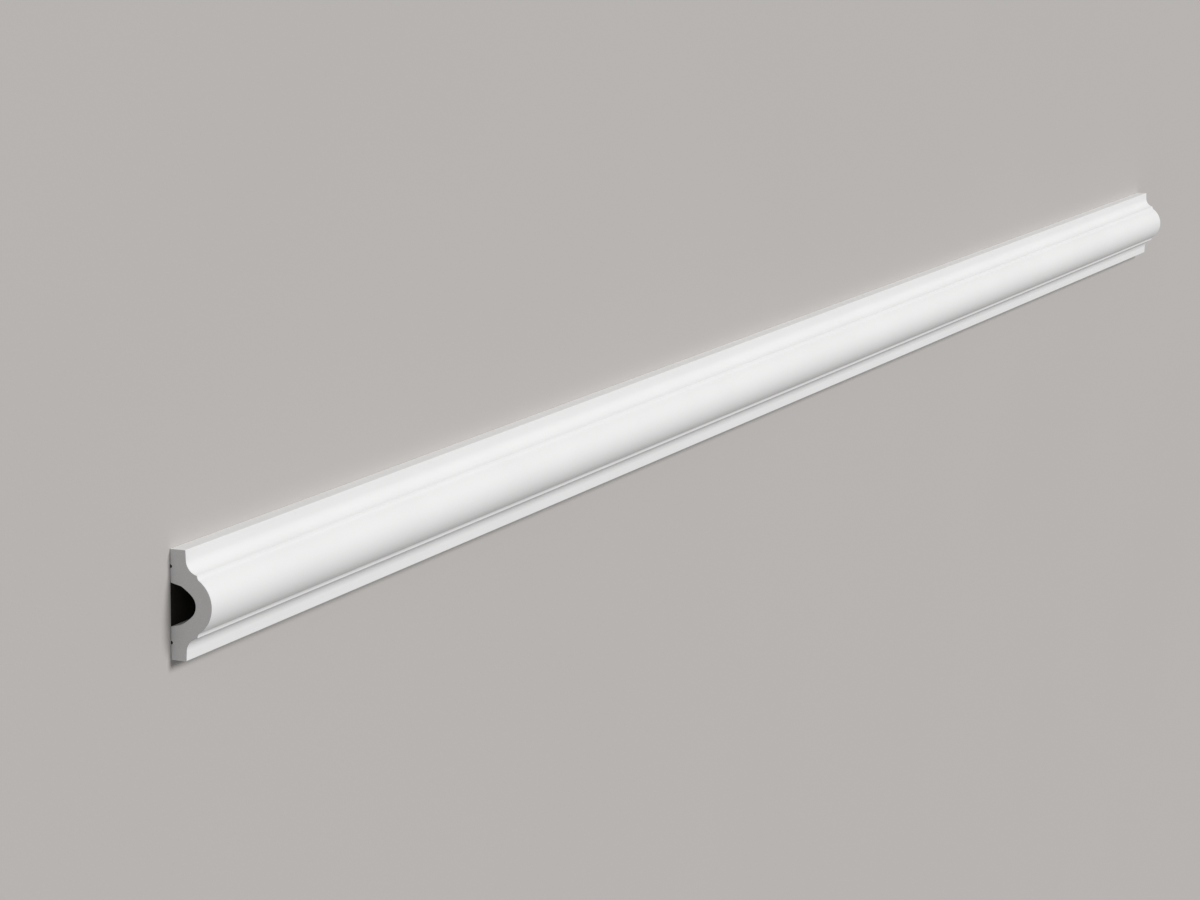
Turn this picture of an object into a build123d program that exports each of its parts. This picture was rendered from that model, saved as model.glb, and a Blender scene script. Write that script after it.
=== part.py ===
from build123d import *
import os
from math import radians, tan

# A straight length of panel moulding, lying on its back, in millimetres.
# X runs along the length, Y across the section and Z from the back to the crown.
# The origin is in the middle of the back.

# Overall
LENGTH = 2000.0  # stock length, cut square at both ends
WIDTH = 60.0  # from edge to edge, the height when it is on a wall
DEPTH = 24.6  # from the back to the crown of the torus

# Front, from each edge inwards
EDGE_THICKNESS = 9.2  # square edge
BAND_WIDTH = 5.4  # flat band beside the edge
BAND_DRAFT = 2.2  # degrees that the band rises inwards
COVE_WIDTH = 7.8  # hollow between the band and the lip
COVE_RISE = 6.5
STEP_WIDTH = 2.5  # hollow step between the lip and the torus
STEP_RISE = 0.95
STEP_DRAFT = 3.0  # degrees that the step rises inwards at the lip
EDGE_EASE = 0.5  # rounding of the band's outer arris
LIP_EASE = 0.3  # rounding of the lip's arris

# Channel in the back
CROWN_WALL = 9.65  # material over the channel, at the crown
CHANNEL_WIDTH = 23.8  # mouth of the channel
FLANK_HEIGHT = 6.2  # straight flank, above the back
FLANK_DRAFT = 13.6  # degrees that the flank leans inwards
NOSE_RADIUS = 7.85  # round top of the channel
NOSE_ANGLE = 45.0  # degrees of the round top on each side of the middle

# Adhesive grooves in the back, one on each side of the channel
GROOVE_RADIUS = 1.0
GROOVE_INSET = 9.35  # from the edge to the groove's middle

# Corners of the section's +Y half, as (across, above the back)
heel = Vector(WIDTH / 2, 0)
arris = heel + (0, EDGE_THICKNESS)
band_end = arris + (-BAND_WIDTH, BAND_WIDTH * tan(radians(BAND_DRAFT)))
lip = band_end + (-COVE_WIDTH, COVE_RISE)
torus_foot = lip + (-STEP_WIDTH, STEP_RISE)
crown = Vector(0, DEPTH)
channel_mouth = Vector(CHANNEL_WIDTH / 2, 0)
flank_top = channel_mouth + (-FLANK_HEIGHT * tan(radians(FLANK_DRAFT)), FLANK_HEIGHT)
nose_centre = crown - (0, CROWN_WALL + NOSE_RADIUS)


def front_half():
    """Edge, band, cove, hollow step and half the torus, from the back to the crown."""
    edge = Line(heel, arris)
    band = Line(arris, band_end)
    cove = TangentArc(band_end, lip, tangent=band % 1)
    step = TangentArc(lip, torus_foot, tangent=(-1, tan(radians(STEP_DRAFT))))
    torus = TangentArc(crown, torus_foot, tangent=(1, 0))
    return [edge, band, cove, step, torus]


def channel_half():
    """Flank, shoulder and half the round top, from the channel's mouth to its middle."""
    flank = Line(channel_mouth, flank_top)
    nose = CenterArc(nose_centre, NOSE_RADIUS, 90, -NOSE_ANGLE)
    shoulder = TangentArc(nose @ 1, flank_top, tangent=nose % 1)
    return [flank, shoulder, nose]


def symmetric_face(half, back_corner):
    """The face between half an outline, its mirror image and the line of the back."""
    back = Line((-back_corner.X, 0), back_corner)
    other_half = [mirror(line, about=Plane.YZ) for line in half]
    return make_face(half + other_half + [back])


def eased(face, corner, radius):
    """The face with a corner and its mirror image rounded."""
    for side in (1, -1):
        vertex = face.vertices().sort_by_distance((side * corner.X, corner.Y))[0]
        face = fillet(vertex, radius)
    return face


def section():
    """The eased outline less the channel and the two grooves."""
    outline = symmetric_face(front_half(), heel)
    outline = eased(outline, arris, EDGE_EASE)
    outline = eased(outline, lip, LIP_EASE)
    channel = symmetric_face(channel_half(), channel_mouth)
    groove_places = GridLocations(WIDTH - 2 * GROOVE_INSET, 0, 2, 1)
    return outline - channel - groove_places * Circle(GROOVE_RADIUS)


moulding = extrude(Plane.YZ * section(), LENGTH / 2, both=True)
moulding.label = "moulding"

os.makedirs("parts", exist_ok=True)
export_step(moulding, "parts/moulding.step")
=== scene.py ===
from collections import namedtuple
from math import acos, atan2, ceil, cos, pi, radians, sin, sqrt, tan

import bpy
from mathutils import Matrix, Vector


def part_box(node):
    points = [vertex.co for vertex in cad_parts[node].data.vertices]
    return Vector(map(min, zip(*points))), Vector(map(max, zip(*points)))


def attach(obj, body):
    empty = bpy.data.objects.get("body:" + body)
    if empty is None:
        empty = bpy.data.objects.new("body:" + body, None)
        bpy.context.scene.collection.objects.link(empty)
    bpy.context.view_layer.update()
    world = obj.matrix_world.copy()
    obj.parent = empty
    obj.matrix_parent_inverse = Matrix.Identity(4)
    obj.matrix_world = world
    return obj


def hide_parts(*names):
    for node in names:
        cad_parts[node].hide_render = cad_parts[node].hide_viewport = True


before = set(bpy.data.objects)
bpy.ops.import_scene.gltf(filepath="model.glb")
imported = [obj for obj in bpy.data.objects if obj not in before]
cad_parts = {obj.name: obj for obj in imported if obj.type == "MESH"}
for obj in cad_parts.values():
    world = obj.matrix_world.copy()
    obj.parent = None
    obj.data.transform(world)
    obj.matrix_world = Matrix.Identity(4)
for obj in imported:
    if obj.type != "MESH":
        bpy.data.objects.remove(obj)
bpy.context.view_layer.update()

# A straight length of panel moulding on a studio floor, in metres.
# X runs along the length, Y across the section and Z up from the back.

low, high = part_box("moulding")
MM = 0.001

# Overall, from the frame
LENGTH = high.x - low.x
WIDTH = high.y - low.y
DEPTH = high.z - low.z

# Front of the section, from each edge inwards
EDGE_THICKNESS = 9.2 * MM  # square edge
BAND_WIDTH = 5.4 * MM  # flat band beside the edge
BAND_DRAFT = radians(2.2)  # slope of the band, rising inwards
COVE_WIDTH = 7.8 * MM  # hollow between the band and the lip
COVE_RISE = 6.5 * MM
STEP_WIDTH = 2.5 * MM  # hollow step between the lip and the torus
STEP_RISE = 0.95 * MM
STEP_DRAFT = radians(3)  # slope of the step at the lip, rising inwards
EDGE_EASE = 0.5 * MM  # rounding of the band's outer arris
LIP_EASE = 0.3 * MM  # rounding of the lip's arris

# Channel and adhesive grooves in the back
CROWN_WALL = 9.65 * MM  # material over the channel, at the crown
CHANNEL_WIDTH = 23.8 * MM  # mouth of the channel
FLANK_HEIGHT = 6.2 * MM  # straight flank, above the back
FLANK_DRAFT = radians(13.6)  # lean of the flank, inwards
NOSE_RADIUS = 7.85 * MM  # round top of the channel
NOSE_ANGLE = radians(45)  # reach of the round top on each side of the middle
GROOVE_RADIUS = 1.0 * MM
GROOVE_INSET = 9.35 * MM  # from the edge to the groove's middle

# Fineness of the mesh
CHORD_SAG = 0.002 * MM  # farthest that a chord may stay inside its arc
STATIONS = 36  # divisions of the length, a multiple of the strips below
CUT_EASE = 0.15 * MM  # arris left by the saw around each end

# Unwrapped layout: the skin in strips one above the other, and the two ends above them
STRIPS = 3
LAYOUT_GAP = 6 * MM  # between one island and the next
END_ENLARGED = 2.0  # scale of the ends beside the strips, for their finer detail

# Material numbers on the piece
PRIMED, RAW, SAWN = range(3)

# Colours, as linear light
PRIMER_COLOUR = (0.82, 0.82, 0.82)
RAW_COLOUR = (0.77, 0.765, 0.755)
SAWN_COLOUR = (0.675, 0.677, 0.68)
FLOOR_COLOUR = (0.50, 0.48, 0.465)
# Painted shade: the near-black floor under the moulding, which makes the channel's hollow dark where it
# is seen from an end
PAINTED_SHADE_COLOUR = (0.020, 0.018, 0.015)
SURROUND_COLOUR = (1.0, 1.0, 1.0)
BACKDROP_COLOUR = (0.474, 0.455, 0.441)  # as pale as the lit floor

# Range in which most of a texture's values lie
TEXTURE_LOW = 0.3
TEXTURE_HIGH = 0.7

# Camera: where the photograph was taken from, turned so that the whole length is in the picture
CAMERA_PLACE = Vector((-2.7111, 0.4251, 0.9543))
CAMERA_AIM = Vector((-0.4101, -0.0105, 0.0))
CAMERA_UP = Vector((0.15582, 0.98502, -0.07388))
CAMERA_LENS = 113.1  # millimetres, on a sensor 36 mm wide

# Light: where each soft lamp stands as seen from the moulding, how wide it looks, and how strong it is
KEY_WAY = Vector((0.16, 0.485, 0.86))
KEY_SPREAD = radians(24)
KEY_STRENGTH = 2.42
FILL_WAY = Vector((-0.86, 0.49, 0.14))
FILL_SPREAD = radians(40)
FILL_STRENGTH = 0.32
SURROUND_STRENGTH = 0.25

# Floor
FLOOR_REACH = 40.0  # from the middle to each side
FLOOR_DROP = 0.1 * MM  # below the back, so that no two faces share a plane
# The patch of painted shade stops this far inside the moulding's outline
PAINTED_SHADE_MARGIN = 0.3 * MM  # from the moulding's outline in to the dark part of the floor


# Section of the moulding. A run is a list of (point, outward normal) along one line or arc.
# The runs go once round the section, anticlockwise with Y to the right and Z up.


def straight(start, end):
    """The run along a line."""
    way = (end - start).normalized()
    normal = Vector((way.y, -way.x))
    return [(start, normal), (end, normal)]


def arc(centre, start, end, hollow=False):
    """The run along an arc: anticlockwise if it bulges out, clockwise if it is hollow."""
    turn = -1 if hollow else 1
    spoke = start - centre
    radius = spoke.length
    first = atan2(spoke.y, spoke.x)
    last = atan2(end.y - centre.y, end.x - centre.x)
    sweep = turn * ((last - first) * turn % (2 * pi))
    count = ceil(abs(sweep) / (2 * acos(1 - CHORD_SAG / radius)))
    run = []
    for step in range(count + 1):
        outward = Matrix.Rotation(sweep * step / count, 2) @ spoke
        run.append((centre + outward, outward.normalized() * turn))
    return run


def tangent_centre(start, end, inward):
    """Centre of the arc that leaves start at right angles to inward and passes through end."""
    chord = end - start
    radius = chord.length_squared / (2 * chord.dot(inward))
    return start + inward * radius


def meeting(centre_a, reach_a, centre_b, reach_b, near):
    """The point at the given reaches from two centres, on the side of them where near lies."""
    gap = centre_b - centre_a
    along = (gap.length_squared + reach_a ** 2 - reach_b ** 2) / (2 * gap.length)
    aside = sqrt(reach_a ** 2 - along ** 2)
    way = gap.normalized()
    middle = centre_a + way * along
    offset = Vector((way.y, -way.x)) * aside
    return min(middle + offset, middle - offset, key=lambda point: (point - near).length)


def mirrored(runs):
    """The runs of the other half of the section, in the order in which they are met there."""
    return [
        [(Vector((-point.x, point.y)), Vector((-normal.x, normal.y))) for point, normal in reversed(run)]
        for run in reversed(runs)
    ]


def front_half():
    """Edge, band, cove, hollow step and half the torus, from the back to the crown."""
    heel = Vector((WIDTH / 2, 0))
    arris = heel + Vector((0, EDGE_THICKNESS))
    band_end = arris + Vector((-BAND_WIDTH, BAND_WIDTH * tan(BAND_DRAFT)))
    lip = band_end + Vector((-COVE_WIDTH, COVE_RISE))
    torus_foot = lip + Vector((-STEP_WIDTH, STEP_RISE))
    crown = Vector((0, DEPTH))

    # The eased arris cuts both its lines back by the same length
    band_way = (band_end - arris).normalized()
    cut_back = EDGE_EASE * tan((pi / 2 - BAND_DRAFT) / 2)
    edge_end = arris - Vector((0, cut_back))
    band_start = arris + band_way * cut_back
    arris_centre = edge_end - Vector((EDGE_EASE, 0))

    # The eased lip touches the arcs of the cove and of the step from outside
    cove_centre = tangent_centre(band_end, lip, Vector((sin(BAND_DRAFT), cos(BAND_DRAFT))))
    step_centre = tangent_centre(lip, torus_foot, Vector((sin(STEP_DRAFT), cos(STEP_DRAFT))))
    cove_reach = (lip - cove_centre).length + LIP_EASE
    step_reach = (lip - step_centre).length + LIP_EASE
    lip_centre = meeting(cove_centre, cove_reach, step_centre, step_reach, lip)
    cove_end = lip_centre + (cove_centre - lip_centre).normalized() * LIP_EASE
    step_start = lip_centre + (step_centre - lip_centre).normalized() * LIP_EASE

    torus_centre = tangent_centre(crown, torus_foot, Vector((0, -1)))
    return [
        straight(heel, edge_end),
        arc(arris_centre, edge_end, band_start),
        straight(band_start, band_end),
        arc(cove_centre, band_end, cove_end, hollow=True),
        arc(lip_centre, cove_end, step_start),
        arc(step_centre, step_start, torus_foot, hollow=True),
        arc(torus_centre, torus_foot, crown),
    ]


def back_half():
    """Half the channel, a strip of the back, the groove and the outer strip, out to the edge."""
    nose_centre = Vector((0, DEPTH - CROWN_WALL - NOSE_RADIUS))
    nose_top = nose_centre + Vector((0, NOSE_RADIUS))
    spoke = Matrix.Rotation(-NOSE_ANGLE, 2) @ Vector((0, 1))
    nose_end = nose_centre + spoke * NOSE_RADIUS
    mouth = Vector((CHANNEL_WIDTH / 2, 0))
    flank_top = mouth + Vector((-FLANK_HEIGHT * tan(FLANK_DRAFT), FLANK_HEIGHT))
    shoulder_centre = tangent_centre(nose_end, flank_top, -spoke)
    groove_centre = Vector((WIDTH / 2 - GROOVE_INSET, 0))
    groove_near = groove_centre - Vector((GROOVE_RADIUS, 0))
    groove_far = groove_centre + Vector((GROOVE_RADIUS, 0))
    return [
        arc(nose_centre, nose_top, nose_end, hollow=True),
        arc(shoulder_centre, nose_end, flank_top, hollow=True),
        straight(flank_top, mouth),
        straight(mouth, groove_near),
        arc(groove_centre, groove_near, groove_far, hollow=True),
        straight(groove_far, Vector((WIDTH / 2, 0))),
    ]


# A side of the outline: the numbers of its two points, the normal at each,
# how far round the outline it starts and ends, and its material
Side = namedtuple("Side", "first last first_normal last_normal start end material")


class Section:
    """The closed outline as shared points, and the sides between them."""

    def __init__(self):
        front = front_half()
        back = back_half()
        first_point, _ = front[0][0]
        self.points = [first_point]
        self.sides = []
        self.girth = 0.0
        for run in front + mirrored(front):
            self.add(run, PRIMED)
        for run in mirrored(back) + back:
            self.add(run, RAW)
        # The outline ends where it began
        self.points.pop()
        self.sides[-1] = self.sides[-1]._replace(last=0)

    def add(self, run, material):
        """Adds the sides of a run that starts at the last point."""
        for (start, start_normal), (end, end_normal) in zip(run, run[1:]):
            here = len(self.points) - 1
            reach = self.girth + (end - start).length
            side = Side(here, here + 1, start_normal, end_normal, self.girth, reach, material)
            self.points.append(end)
            self.sides.append(side)
            self.girth = reach

    def inset(self, amount):
        """The points moved in by the amount, square to both sides that meet there."""
        moved = []
        for before, after in zip(self.sides[-1:] + self.sides[:-1], self.sides):
            both = before.last_normal + after.first_normal
            mitre = both / (1 + before.last_normal.dot(after.first_normal))
            moved.append(self.points[after.first] - mitre * amount)
        return moved


# Mesh of the moulding


def in_space(x, point):
    """A point or normal of the section at a place along the length."""
    return Vector((x, point.x, point.y))


class Skin:
    """Collects faces with a normal and a place in the unwrapped layout at each corner."""

    def __init__(self):
        self.corners = []
        self.faces = []
        self.normals = []
        self.places = []
        self.materials = []

    def face(self, corners, normals, places, material):
        """Adds a face, anticlockwise as seen from outside."""
        self.faces.append(corners)
        self.normals.extend(normals)
        self.places.extend(places)
        self.materials.append(material)

    def build(self, name):
        """The object made of all the faces."""
        mesh = bpy.data.meshes.new(name)
        mesh.from_pydata(self.corners, [], self.faces)
        mesh.polygons.foreach_set("material_index", self.materials)
        mesh.polygons.foreach_set("use_smooth", [True] * len(self.faces))
        layout = mesh.uv_layers.new(name="OFBake")
        for corner, place in zip(layout.data, self.places):
            corner.uv = place
        mesh.normals_split_custom_set(self.normals)
        mesh.update()
        piece = bpy.data.objects.new(name, mesh)
        bpy.context.collection.objects.link(piece)
        return piece


def add_length(skin, section, layout_size):
    """The long sides, from one eased end to the other."""
    span = (LENGTH - 2 * CUT_EASE) / STATIONS
    count = len(section.points)
    for station in range(STATIONS + 1):
        x = low.x + CUT_EASE + span * station
        skin.corners.extend(in_space(x, point) for point in section.points)
    for station in range(STATIONS):
        here = station * count
        there = here + count
        strip = station * STRIPS // STATIONS
        strip_start = strip * LENGTH / STRIPS
        strip_top = LAYOUT_GAP / 2 + strip * (section.girth + LAYOUT_GAP) + section.girth
        near = (LAYOUT_GAP / 2 + CUT_EASE + span * station - strip_start) / layout_size
        far = near + span / layout_size
        for side in section.sides:
            start = (strip_top - side.start) / layout_size
            end = (strip_top - side.end) / layout_size
            first_normal = in_space(0, side.first_normal)
            last_normal = in_space(0, side.last_normal)
            skin.face(
                (here + side.first, here + side.last, there + side.last, there + side.first),
                (first_normal, last_normal, last_normal, first_normal),
                ((near, start), (near, end), (far, end), (far, start)),
                side.material,
            )


def add_end(skin, section, way, layout_size):
    """A sawn end, with the small arris that the saw leaves round it. The way is -1 or 1 along X."""
    count = len(section.points)
    ring = 0 if way < 0 else STATIONS * count
    rim = len(skin.corners)
    out = Vector((way, 0, 0))
    skin.corners.extend(in_space(way * LENGTH / 2, point) for point in section.inset(CUT_EASE))

    across = LAYOUT_GAP + WIDTH / 2 * END_ENLARGED
    if way > 0:
        across += WIDTH * END_ENLARGED + LAYOUT_GAP
    above = LAYOUT_GAP + STRIPS * (section.girth + LAYOUT_GAP)

    def place(corner):
        point = skin.corners[corner]
        return (
            (across + way * point.y * END_ENLARGED) / layout_size,
            (above + point.z * END_ENLARGED) / layout_size,
        )

    for side in section.sides:
        corners = (rim + side.first, rim + side.last, ring + side.last, ring + side.first)
        normals = (out, out, in_space(0, side.last_normal), in_space(0, side.first_normal))
        if way > 0:
            corners = corners[::-1]
            normals = normals[::-1]
        skin.face(corners, normals, [place(corner) for corner in corners], SAWN)
    cap = list(range(rim, rim + count))
    if way < 0:
        cap.reverse()
    skin.face(cap, [out] * count, [place(corner) for corner in cap], SAWN)


def make_moulding():
    """The whole length with its two ends and its three finishes."""
    section = Section()
    layout_size = LENGTH / STRIPS + LAYOUT_GAP
    skin = Skin()
    add_length(skin, section, layout_size)
    for way in (-1, 1):
        add_end(skin, section, way, layout_size)
    piece = skin.build("moulding_body")
    for material in (primer_material(), raw_material(), sawn_material()):
        piece.data.materials.append(material)
    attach(piece, "root")
    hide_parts("moulding")


# Materials


def opaque(colour, factor=1.0):
    """The colour times the factor, with the alpha that a colour socket asks for."""
    return [min(1.0, part * factor) for part in colour] + [1.0]


class Nodes:
    """A material's node tree, with short ways to add what the finishes share."""

    def __init__(self, name):
        self.material = bpy.data.materials.new(name)
        self.material.use_nodes = True
        self.tree = self.material.node_tree
        self.shader = self.tree.nodes["Principled BSDF"]
        self.where = self.tree.nodes.new("ShaderNodeTexCoord").outputs["Object"]

    def link(self, source, socket):
        """Feeds a socket from another node."""
        self.tree.links.new(source, socket)

    def noise(self, per_metre, detail, stretch=(1, 1, 1)):
        """Noise with so many features to the metre, drawn out along an axis where stretch is small."""
        mapping = self.tree.nodes.new("ShaderNodeMapping")
        mapping.inputs["Scale"].default_value = stretch
        self.link(self.where, mapping.inputs["Vector"])
        noise = self.tree.nodes.new("ShaderNodeTexNoise")
        noise.inputs["Scale"].default_value = per_metre
        noise.inputs["Detail"].default_value = detail
        self.link(mapping.outputs["Vector"], noise.inputs["Vector"])
        return noise.outputs["Fac"]

    def cells(self, per_metre):
        """Distance from the middle of the nearest of so many cells to the metre."""
        cells = self.tree.nodes.new("ShaderNodeTexVoronoi")
        cells.inputs["Scale"].default_value = per_metre
        self.link(self.where, cells.inputs["Vector"])
        return cells.outputs["Distance"]

    def spread(self, texture, least, most):
        """The texture spread over a range of values."""
        spread = self.tree.nodes.new("ShaderNodeMapRange")
        spread.inputs["From Min"].default_value = TEXTURE_LOW
        spread.inputs["From Max"].default_value = TEXTURE_HIGH
        spread.inputs["To Min"].default_value = least
        spread.inputs["To Max"].default_value = most
        self.link(texture, spread.inputs["Value"])
        return spread.outputs["Result"]

    def tint(self, texture, colour, change):
        """The colour, made darker or lighter by up to the change."""
        ramp = self.tree.nodes.new("ShaderNodeValToRGB")
        darkest, lightest = ramp.color_ramp.elements
        darkest.position = TEXTURE_LOW
        darkest.color = opaque(colour, 1 - change)
        lightest.position = TEXTURE_HIGH
        lightest.color = opaque(colour, 1 + change)
        self.link(texture, ramp.inputs["Fac"])
        return ramp.outputs["Color"]

    def bump(self, texture, depth, below=None):
        """The normal over a relief of that depth, on top of another relief's normal if given."""
        bump = self.tree.nodes.new("ShaderNodeBump")
        bump.inputs["Distance"].default_value = depth
        self.link(texture, bump.inputs["Height"])
        if below:
            self.link(below, bump.inputs["Normal"])
        return bump.outputs["Normal"]

    def finish(self, colour, roughness, normal, gloss):
        """The material, with its shader fed from the other nodes."""
        self.shader.inputs["Specular IOR Level"].default_value = gloss
        self.link(colour, self.shader.inputs["Base Color"])
        self.link(roughness, self.shader.inputs["Roughness"])
        self.link(normal, self.shader.inputs["Normal"])
        return self.material


def primer_material():
    """Sprayed matte primer: an even white, a fine stipple and faint lines of the extrusion below."""
    nodes = Nodes("primed_face")
    clouds = nodes.noise(per_metre=14, detail=3)
    stipple = nodes.noise(per_metre=900, detail=2)
    lines = nodes.noise(per_metre=420, detail=2, stretch=(0.004, 1, 1))
    relief = nodes.bump(lines, depth=0.006 * MM)
    relief = nodes.bump(stipple, depth=0.008 * MM, below=relief)
    colour = nodes.tint(clouds, PRIMER_COLOUR, change=0.012)
    roughness = nodes.spread(stipple, least=0.46, most=0.58)
    return nodes.finish(colour, roughness, relief, gloss=0.4)


def raw_material():
    """Bare back as it left the die: a little duller, with lines along the length."""
    nodes = Nodes("raw_back")
    lines = nodes.noise(per_metre=700, detail=3, stretch=(0.003, 1, 1))
    grit = nodes.noise(per_metre=1500, detail=2)
    relief = nodes.bump(lines, depth=0.05 * MM)
    relief = nodes.bump(grit, depth=0.02 * MM, below=relief)
    colour = nodes.tint(lines, RAW_COLOUR, change=0.03)
    roughness = nodes.spread(grit, least=0.68, most=0.82)
    return nodes.finish(colour, roughness, relief, gloss=0.3)


def sawn_material():
    """Sawn foam: greyer than the primer, with the open cells and the marks of the blade."""
    nodes = Nodes("sawn_end")
    cells = nodes.cells(per_metre=3200)
    marks = nodes.noise(per_metre=900, detail=2, stretch=(1, 1, 0.05))
    relief = nodes.bump(marks, depth=0.03 * MM)
    relief = nodes.bump(cells, depth=0.05 * MM, below=relief)
    colour = nodes.tint(cells, SAWN_COLOUR, change=0.05)
    roughness = nodes.spread(marks, least=0.8, most=0.92)
    return nodes.finish(colour, roughness, relief, gloss=0.25)


def floor_material(name, paint):
    """Matte paint with a faint unevenness."""
    nodes = Nodes(name)
    clouds = nodes.noise(per_metre=3, detail=4)
    grain = nodes.noise(per_metre=400, detail=2)
    relief = nodes.bump(grain, depth=0.05 * MM)
    colour = nodes.tint(clouds, paint, change=0.006)
    roughness = nodes.spread(grain, least=0.8, most=0.9)
    return nodes.finish(colour, roughness, relief, gloss=0.2)


# Stage


def rectangle(half_length, half_width, level):
    """Corners of a level rectangle round the origin."""
    return [
        (-half_length, -half_width, level),
        (half_length, -half_width, level),
        (half_length, half_width, level),
        (-half_length, half_width, level),
    ]


def make_floor():
    """A pale floor with a near-black patch of painted shade where the moulding covers it, so that the
    hollow looks as deep as it is.
    """
    level = low.z - FLOOR_DROP
    outer = rectangle(FLOOR_REACH, FLOOR_REACH, level)
    painted_shade_patch = rectangle(LENGTH / 2 - PAINTED_SHADE_MARGIN, WIDTH / 2 - PAINTED_SHADE_MARGIN, level)
    count = len(outer)
    faces = []
    for here in range(count):
        there = (here + 1) % count
        faces.append((here, there, there + count, here + count))
    faces.append(range(count, 2 * count))
    mesh = bpy.data.meshes.new("floor")
    mesh.from_pydata(outer + painted_shade_patch, [], faces)
    mesh.materials.append(floor_material("floor_paint", FLOOR_COLOUR))
    # Painted shade on the covered part of the floor, seen only through the channel and the grooves at
    # the ends
    mesh.materials.append(floor_material("painted_shade_floor", PAINTED_SHADE_COLOUR))
    mesh.polygons[-1].material_index = 1
    floor = bpy.data.objects.new("floor", mesh)
    bpy.context.collection.objects.link(floor)


def aimed(place, aim, up):
    """The matrix of something at a place that looks at another, with its top towards up."""
    back = (place - aim).normalized()
    right = up.cross(back).normalized()
    turn = Matrix((right, back.cross(right), back)).transposed()
    return Matrix.Translation(place) @ turn.to_4x4()


def make_camera():
    """The camera that the picture is taken with."""
    camera = bpy.data.objects.new("camera", bpy.data.cameras.new("camera"))
    camera.data.lens = CAMERA_LENS
    camera.matrix_world = aimed(CAMERA_PLACE, CAMERA_AIM, CAMERA_UP)
    bpy.context.collection.objects.link(camera)
    bpy.context.scene.camera = camera


def make_light(name, way, spread, strength):
    """A wide soft lamp, so far away that it lights the whole floor alike."""
    middle = Vector((0, 0, 0))
    across = Vector((0, 1, 0))
    lamp = bpy.data.lights.new(name, "SUN")
    lamp.angle = spread
    lamp.energy = strength
    light = bpy.data.objects.new(name, lamp)
    light.matrix_world = aimed(way, middle, across)
    bpy.context.collection.objects.link(light)


def make_world():
    """A dim even surround for the light, which is a pale backdrop where it is seen or mirrored."""
    world = bpy.data.worlds.new("studio")
    bpy.context.scene.world = world
    world.use_nodes = True
    tree = world.node_tree
    tree.nodes.clear()
    surround = tree.nodes.new("ShaderNodeBackground")
    surround.inputs["Strength"].default_value = SURROUND_STRENGTH
    surround.inputs["Color"].default_value = opaque(SURROUND_COLOUR)
    backdrop = tree.nodes.new("ShaderNodeBackground")
    backdrop.inputs["Color"].default_value = opaque(BACKDROP_COLOUR)
    path = tree.nodes.new("ShaderNodeLightPath")
    seen = path.outputs["Is Camera Ray"]
    for ray in ("Is Glossy Ray", "Is Transmission Ray"):
        either = tree.nodes.new("ShaderNodeMath")
        either.operation = "MAXIMUM"
        tree.links.new(seen, either.inputs[0])
        tree.links.new(path.outputs[ray], either.inputs[1])
        seen = either.outputs["Value"]
    mix = tree.nodes.new("ShaderNodeMixShader")
    share, unseen_shader, seen_shader = mix.inputs
    tree.links.new(seen, share)
    tree.links.new(surround.outputs["Background"], unseen_shader)
    tree.links.new(backdrop.outputs["Background"], seen_shader)
    output = tree.nodes.new("ShaderNodeOutputWorld")
    tree.links.new(mix.outputs["Shader"], output.inputs["Surface"])


make_moulding()
make_floor()
make_light("key_light", KEY_WAY, KEY_SPREAD, KEY_STRENGTH)
make_light("fill_light", FILL_WAY, FILL_SPREAD, FILL_STRENGTH)
make_world()
make_camera()
bpy.context.scene.view_settings.view_transform = "Standard"
